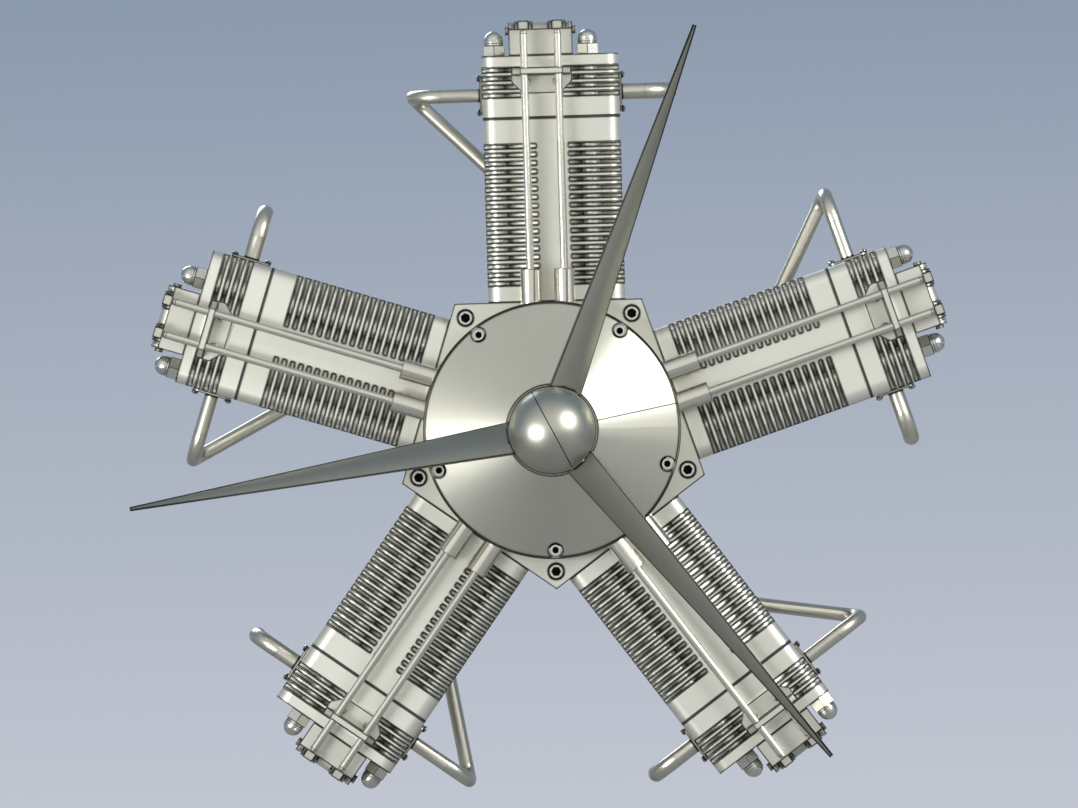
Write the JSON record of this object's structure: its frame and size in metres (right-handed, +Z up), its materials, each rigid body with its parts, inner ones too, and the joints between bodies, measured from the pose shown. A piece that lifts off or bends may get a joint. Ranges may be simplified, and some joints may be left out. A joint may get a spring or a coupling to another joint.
{
  "type": "radial engine",
  "caption": "Air-cooled four-stroke radial engine with finned cylinders, exposed pushrods and rockers, bent intake and exhaust pipes and a bladed propeller with a domed nut.",
  "frame": {"origin": "centre of the five mounting bosses' rear faces, on the crank axis", "axes": "+Z up along the first cylinder, the nose and propeller point along -Y, +X to the right seen from the front, +Y out of the mounting face"},
  "size_m": [0.411, 0.1851, 0.3832],
  "materials": {
    "cast_metal": "satin bead-blasted casting",
    "machined_steel": "satin machined steel",
    "dark_steel": "blued spring steel",
    "blade": "dark satin composite"
  },
  "bodies": {
    "engine": {"crankcase": "cast_metal", "nose_cover": "cast_metal", "rear_cover": "cast_metal", "cylinder_barrels": "cast_metal", "cylinder_heads": "cast_metal", "rocker_boxes": "cast_metal", "tappet_guides": "machined_steel", "head_nuts": "machined_steel", "intake_pipes": "machined_steel", "exhaust_pipes": "machined_steel", "cap_screws": "machined_steel", "valve_springs": "dark_steel", "spark_plugs": "machined_steel", "main_bearings": "machined_steel"},
    "crank": {"crankshaft": "machined_steel", "propeller_hub": "cast_metal", "propeller_blades": "blade", "spinner_nut": "cast_metal"},
    "cam_ring": {"cam_ring": "machined_steel"},
    "cam_idler": {"cam_idler": "machined_steel"},
    "piston_1": {"piston_1": "cast_metal", "master_rod": "machined_steel"},
    "piston_2": {"piston_2": "cast_metal", "link_rod_2": "machined_steel"},
    "piston_3": {"piston_3": "cast_metal", "link_rod_3": "machined_steel"},
    "piston_4": {"piston_4": "cast_metal", "link_rod_4": "machined_steel"},
    "piston_5": {"piston_5": "cast_metal", "link_rod_5": "machined_steel"},
    "pushrod_intake_1": {"pushrod_intake_1": "machined_steel"},
    "rocker_intake_1": {"rocker_intake_1": "machined_steel"},
    "valve_intake_1": {"valve_intake_1": "machined_steel"},
    "pushrod_intake_2": {"pushrod_intake_2": "machined_steel"},
    "rocker_intake_2": {"rocker_intake_2": "machined_steel"},
    "valve_intake_2": {"valve_intake_2": "machined_steel"},
    "pushrod_intake_3": {"pushrod_intake_3": "machined_steel"},
    "rocker_intake_3": {"rocker_intake_3": "machined_steel"},
    "valve_intake_3": {"valve_intake_3": "machined_steel"},
    "pushrod_intake_4": {"pushrod_intake_4": "machined_steel"},
    "rocker_intake_4": {"rocker_intake_4": "machined_steel"},
    "valve_intake_4": {"valve_intake_4": "machined_steel"},
    "pushrod_intake_5": {"pushrod_intake_5": "machined_steel"},
    "rocker_intake_5": {"rocker_intake_5": "machined_steel"},
    "valve_intake_5": {"valve_intake_5": "machined_steel"},
    "pushrod_exhaust_1": {"pushrod_exhaust_1": "machined_steel"},
    "rocker_exhaust_1": {"rocker_exhaust_1": "machined_steel"},
    "valve_exhaust_1": {"valve_exhaust_1": "machined_steel"},
    "pushrod_exhaust_2": {"pushrod_exhaust_2": "machined_steel"},
    "rocker_exhaust_2": {"rocker_exhaust_2": "machined_steel"},
    "valve_exhaust_2": {"valve_exhaust_2": "machined_steel"},
    "pushrod_exhaust_3": {"pushrod_exhaust_3": "machined_steel"},
    "rocker_exhaust_3": {"rocker_exhaust_3": "machined_steel"},
    "valve_exhaust_3": {"valve_exhaust_3": "machined_steel"},
    "pushrod_exhaust_4": {"pushrod_exhaust_4": "machined_steel"},
    "rocker_exhaust_4": {"rocker_exhaust_4": "machined_steel"},
    "valve_exhaust_4": {"valve_exhaust_4": "machined_steel"},
    "pushrod_exhaust_5": {"pushrod_exhaust_5": "machined_steel"},
    "rocker_exhaust_5": {"rocker_exhaust_5": "machined_steel"},
    "valve_exhaust_5": {"valve_exhaust_5": "machined_steel"}
  },
  "joints": [
    {"name": "crank_spin", "type": "hinge", "parent": "engine", "child": "crank", "pos_m": [0, -0.065, 0], "axis": [0, -1, 0], "continuous": true},
    {"name": "cam_ring_spin", "type": "hinge", "parent": "engine", "child": "cam_ring", "pos_m": [0, -0.107, 0], "axis": [0, -1, 0], "continuous": true},
    {"name": "cam_idler_spin", "type": "hinge", "parent": "engine", "child": "cam_idler", "pos_m": [0, -0.107, -0.025], "axis": [0, -1, 0], "continuous": true},
    {"name": "piston_1_slide", "type": "slide", "parent": "engine", "child": "piston_1", "axis": [0, 0, 1], "range_m": [-0.032, 0]},
    {"name": "piston_2_slide", "type": "slide", "parent": "engine", "child": "piston_2", "axis": [0.9511, 0, 0.309], "range_m": [-0.01998, 0.01202]},
    {"name": "piston_3_slide", "type": "slide", "parent": "engine", "child": "piston_3", "axis": [-0.5878, 0, 0.809], "range_m": [-0.02932, 0.00269]},
    {"name": "piston_4_slide", "type": "slide", "parent": "engine", "child": "piston_4", "axis": [-0.5878, 0, -0.809], "range_m": [-0.00269, 0.02932]},
    {"name": "piston_5_slide", "type": "slide", "parent": "engine", "child": "piston_5", "axis": [0.9511, 0, -0.309], "range_m": [-0.01202, 0.01998]},
    {"name": "pushrod_intake_1_lift", "type": "slide", "parent": "engine", "child": "pushrod_intake_1", "axis": [0, 0, 1], "range_m": [0, 0.0035], "stiffness_N_per_m": 300, "springref_m": -0.005},
    {"name": "rocker_intake_1_rock", "type": "hinge", "parent": "engine", "child": "rocker_intake_1", "pos_m": [0, -0.085, 0.2002], "axis": [-1, 0, 0], "range_deg": [0, 9.2]},
    {"name": "valve_intake_1_open", "type": "slide", "parent": "engine", "child": "valve_intake_1", "axis": [0, 0, -1], "range_m": [0, 0.0031], "deforming": ["valve_springs"]},
    {"name": "pushrod_intake_2_lift", "type": "slide", "parent": "engine", "child": "pushrod_intake_2", "axis": [0.9511, 0, 0.309], "range_m": [0, 0.0035], "stiffness_N_per_m": 300, "springref_m": -0.005},
    {"name": "rocker_intake_2_rock", "type": "hinge", "parent": "engine", "child": "rocker_intake_2", "pos_m": [0.1904, -0.085, 0.06186], "axis": [-0.309, 0, 0.9511], "range_deg": [0, 9.2]},
    {"name": "valve_intake_2_open", "type": "slide", "parent": "engine", "child": "valve_intake_2", "axis": [-0.9511, 0, -0.309], "range_m": [0, 0.0031], "deforming": ["valve_springs"]},
    {"name": "pushrod_intake_3_lift", "type": "slide", "parent": "engine", "child": "pushrod_intake_3", "axis": [0.5878, 0, -0.809], "range_m": [0, 0.0035], "stiffness_N_per_m": 300, "springref_m": -0.005},
    {"name": "rocker_intake_3_rock", "type": "hinge", "parent": "engine", "child": "rocker_intake_3", "pos_m": [0.11767, -0.085, -0.16196], "axis": [0.809, 0, 0.5878], "range_deg": [0, 9.2]},
    {"name": "valve_intake_3_open", "type": "slide", "parent": "engine", "child": "valve_intake_3", "axis": [-0.5878, 0, 0.809], "range_m": [0, 0.0031], "deforming": ["valve_springs"]},
    {"name": "pushrod_intake_4_lift", "type": "slide", "parent": "engine", "child": "pushrod_intake_4", "axis": [-0.5878, 0, -0.809], "range_m": [0, 0.0035], "stiffness_N_per_m": 300, "springref_m": -0.005},
    {"name": "rocker_intake_4_rock", "type": "hinge", "parent": "engine", "child": "rocker_intake_4", "pos_m": [-0.11767, -0.085, -0.16196], "axis": [0.809, 0, -0.5878], "range_deg": [0, 9.2]},
    {"name": "valve_intake_4_open", "type": "slide", "parent": "engine", "child": "valve_intake_4", "axis": [0.5878, 0, 0.809], "range_m": [0, 0.0031], "deforming": ["valve_springs"]},
    {"name": "pushrod_intake_5_lift", "type": "slide", "parent": "engine", "child": "pushrod_intake_5", "axis": [-0.9511, 0, 0.309], "range_m": [0, 0.0035], "stiffness_N_per_m": 300, "springref_m": -0.005},
    {"name": "rocker_intake_5_rock", "type": "hinge", "parent": "engine", "child": "rocker_intake_5", "pos_m": [-0.1904, -0.085, 0.06186], "axis": [-0.309, 0, -0.9511], "range_deg": [0, 9.2]},
    {"name": "valve_intake_5_open", "type": "slide", "parent": "engine", "child": "valve_intake_5", "axis": [0.9511, 0, -0.309], "range_m": [0, 0.0031], "deforming": ["valve_springs"]},
    {"name": "pushrod_exhaust_1_lift", "type": "slide", "parent": "engine", "child": "pushrod_exhaust_1", "axis": [0, 0, 1], "range_m": [0, 0.0035], "stiffness_N_per_m": 300, "springref_m": -0.005},
    {"name": "rocker_exhaust_1_rock", "type": "hinge", "parent": "engine", "child": "rocker_exhaust_1", "pos_m": [0, -0.085, 0.2002], "axis": [-1, 0, 0], "range_deg": [0, 9.2]},
    {"name": "valve_exhaust_1_open", "type": "slide", "parent": "engine", "child": "valve_exhaust_1", "axis": [0, 0, -1], "range_m": [0, 0.0031], "deforming": ["valve_springs"]},
    {"name": "pushrod_exhaust_2_lift", "type": "slide", "parent": "engine", "child": "pushrod_exhaust_2", "axis": [0.9511, 0, 0.309], "range_m": [0, 0.0035], "stiffness_N_per_m": 300, "springref_m": -0.005},
    {"name": "rocker_exhaust_2_rock", "type": "hinge", "parent": "engine", "child": "rocker_exhaust_2", "pos_m": [0.1904, -0.085, 0.06186], "axis": [-0.309, 0, 0.9511], "range_deg": [0, 9.2]},
    {"name": "valve_exhaust_2_open", "type": "slide", "parent": "engine", "child": "valve_exhaust_2", "axis": [-0.9511, 0, -0.309], "range_m": [0, 0.0031], "deforming": ["valve_springs"]},
    {"name": "pushrod_exhaust_3_lift", "type": "slide", "parent": "engine", "child": "pushrod_exhaust_3", "axis": [0.5878, 0, -0.809], "range_m": [0, 0.0035], "stiffness_N_per_m": 300, "springref_m": -0.005},
    {"name": "rocker_exhaust_3_rock", "type": "hinge", "parent": "engine", "child": "rocker_exhaust_3", "pos_m": [0.11767, -0.085, -0.16196], "axis": [0.809, 0, 0.5878], "range_deg": [0, 9.2]},
    {"name": "valve_exhaust_3_open", "type": "slide", "parent": "engine", "child": "valve_exhaust_3", "axis": [-0.5878, 0, 0.809], "range_m": [0, 0.0031], "deforming": ["valve_springs"]},
    {"name": "pushrod_exhaust_4_lift", "type": "slide", "parent": "engine", "child": "pushrod_exhaust_4", "axis": [-0.5878, 0, -0.809], "range_m": [0, 0.0035], "stiffness_N_per_m": 300, "springref_m": -0.005},
    {"name": "rocker_exhaust_4_rock", "type": "hinge", "parent": "engine", "child": "rocker_exhaust_4", "pos_m": [-0.11767, -0.085, -0.16196], "axis": [0.809, 0, -0.5878], "range_deg": [0, 9.2]},
    {"name": "valve_exhaust_4_open", "type": "slide", "parent": "engine", "child": "valve_exhaust_4", "axis": [0.5878, 0, 0.809], "range_m": [0, 0.0031], "deforming": ["valve_springs"]},
    {"name": "pushrod_exhaust_5_lift", "type": "slide", "parent": "engine", "child": "pushrod_exhaust_5", "axis": [-0.9511, 0, 0.309], "range_m": [0, 0.0035], "stiffness_N_per_m": 300, "springref_m": -0.005},
    {"name": "rocker_exhaust_5_rock", "type": "hinge", "parent": "engine", "child": "rocker_exhaust_5", "pos_m": [-0.1904, -0.085, 0.06186], "axis": [-0.309, 0, -0.9511], "range_deg": [0, 9.2]},
    {"name": "valve_exhaust_5_open", "type": "slide", "parent": "engine", "child": "valve_exhaust_5", "axis": [0.9511, 0, -0.309], "range_m": [0, 0.0031], "deforming": ["valve_springs"]}
  ],
  "couplings": [
    {"joint": "cam_ring_spin", "follows": "crank_spin", "ratio": -0.25},
    {"joint": "cam_idler_spin", "follows": "crank_spin", "ratio": -0.66667},
    {"joint": "rocker_intake_1_rock", "follows": "pushrod_intake_1_lift", "rad_per_m": 45.455},
    {"joint": "valve_intake_1_open", "follows": "pushrod_intake_1_lift", "ratio": 0.86364},
    {"joint": "rocker_intake_2_rock", "follows": "pushrod_intake_2_lift", "rad_per_m": 45.455},
    {"joint": "valve_intake_2_open", "follows": "pushrod_intake_2_lift", "ratio": 0.86364},
    {"joint": "rocker_intake_3_rock", "follows": "pushrod_intake_3_lift", "rad_per_m": 45.455},
    {"joint": "valve_intake_3_open", "follows": "pushrod_intake_3_lift", "ratio": 0.86364},
    {"joint": "rocker_intake_4_rock", "follows": "pushrod_intake_4_lift", "rad_per_m": 45.455},
    {"joint": "valve_intake_4_open", "follows": "pushrod_intake_4_lift", "ratio": 0.86364},
    {"joint": "rocker_intake_5_rock", "follows": "pushrod_intake_5_lift", "rad_per_m": 45.455},
    {"joint": "valve_intake_5_open", "follows": "pushrod_intake_5_lift", "ratio": 0.86364},
    {"joint": "rocker_exhaust_1_rock", "follows": "pushrod_exhaust_1_lift", "rad_per_m": 45.455},
    {"joint": "valve_exhaust_1_open", "follows": "pushrod_exhaust_1_lift", "ratio": 0.86364},
    {"joint": "rocker_exhaust_2_rock", "follows": "pushrod_exhaust_2_lift", "rad_per_m": 45.455},
    {"joint": "valve_exhaust_2_open", "follows": "pushrod_exhaust_2_lift", "ratio": 0.86364},
    {"joint": "rocker_exhaust_3_rock", "follows": "pushrod_exhaust_3_lift", "rad_per_m": 45.455},
    {"joint": "valve_exhaust_3_open", "follows": "pushrod_exhaust_3_lift", "ratio": 0.86364},
    {"joint": "rocker_exhaust_4_rock", "follows": "pushrod_exhaust_4_lift", "rad_per_m": 45.455},
    {"joint": "valve_exhaust_4_open", "follows": "pushrod_exhaust_4_lift", "ratio": 0.86364},
    {"joint": "rocker_exhaust_5_rock", "follows": "pushrod_exhaust_5_lift", "rad_per_m": 45.455},
    {"joint": "valve_exhaust_5_open", "follows": "pushrod_exhaust_5_lift", "ratio": 0.86364}
  ]
}
